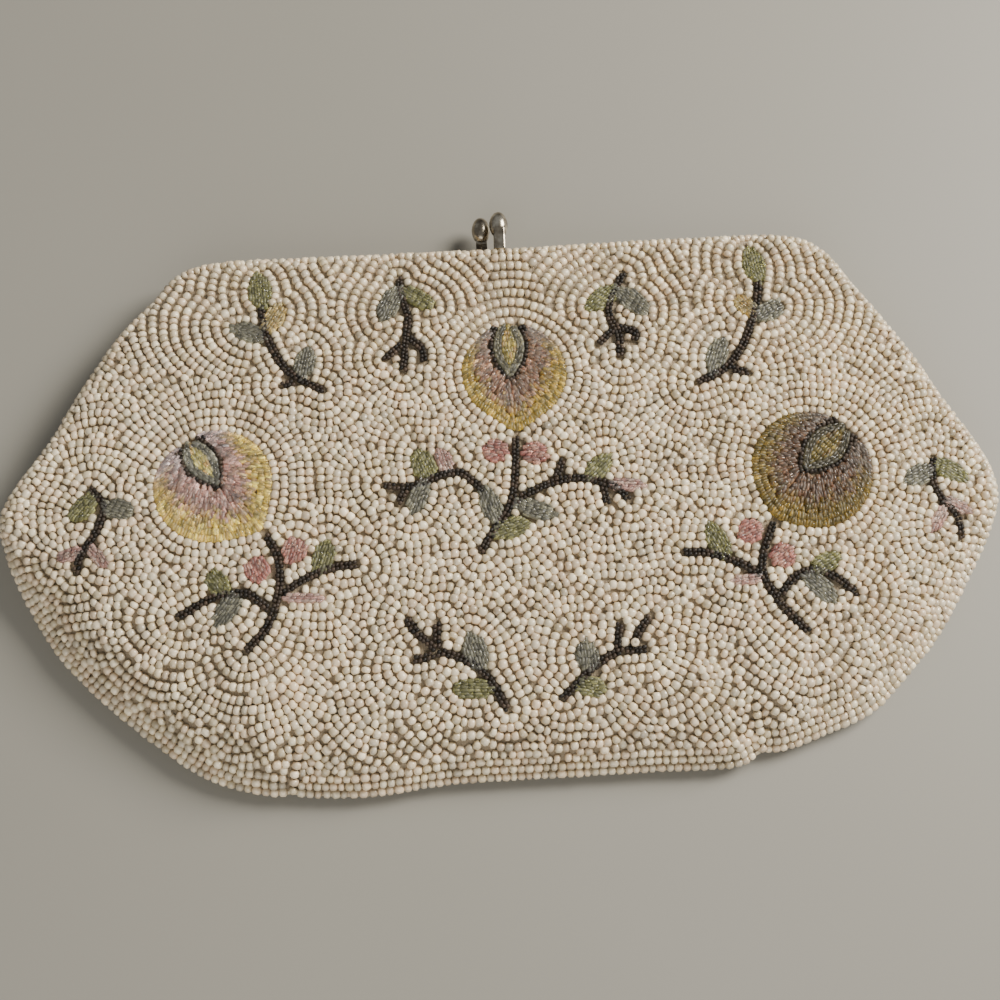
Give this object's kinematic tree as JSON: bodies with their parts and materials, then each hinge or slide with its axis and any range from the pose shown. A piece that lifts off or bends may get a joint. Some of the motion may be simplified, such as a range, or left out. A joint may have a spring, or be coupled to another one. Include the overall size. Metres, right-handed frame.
{
  "type": "beaded evening bag",
  "caption": "Flat clutch of beaded cloth walls sewn round a hidden hinged frame with a two-knob clasp, with flower sprays in finer glass beads on the front.",
  "frame": {"origin": "on the flat back of the bag, below the middle of the front's beadwork", "axes": "+X along the bag's width, +Y towards its mouth and clasp, +Z out of its front"},
  "size_m": [0.231, 0.1413, 0.0183],
  "materials": {
    "white_beads": "cloth paved with satin cream-white seed beads",
    "frame_metal": "tarnished nickel",
    "leaf_beads": "fine green and grey glass beads with dark stems",
    "petal_beads": "fine gold and lavender glass beads",
    "dark_beads": "small dark brown glass beads",
    "centre_beads": "fine grey-green and yellow glass beads",
    "bud_beads": "fine dusty pink glass beads"
  },
  "bodies": {
    "root": {"front_panel": "white_beads", "back_panel": "white_beads", "frame_front": "frame_metal", "frame_back": "frame_metal", "hinge_rivet_left": "frame_metal", "hinge_rivet_right": "frame_metal", "spray_top_left": "leaf_beads", "spray_top_middle_left": "leaf_beads", "spray_top_middle_right": "leaf_beads", "spray_top_right": "leaf_beads", "spray_side_left": "leaf_beads", "spray_flower_left": "leaf_beads", "spray_flower_centre": "leaf_beads", "spray_flower_right": "leaf_beads", "spray_side_right": "leaf_beads", "spray_bottom_left": "leaf_beads", "spray_bottom_right": "leaf_beads", "bud_flower_left_a": "bud_beads", "bud_flower_left_b": "bud_beads", "flower_left_petals": "petal_beads", "flower_left_outline": "dark_beads", "flower_left_centre": "centre_beads", "bud_flower_centre_a": "bud_beads", "bud_flower_centre_b": "bud_beads", "flower_centre_petals": "petal_beads", "flower_centre_outline": "dark_beads", "flower_centre_centre": "centre_beads", "bud_flower_right_a": "bud_beads", "bud_flower_right_b": "bud_beads", "flower_right_petals": "petal_beads", "flower_right_outline": "dark_beads", "flower_right_centre": "centre_beads"}
  },
  "joints": []
}
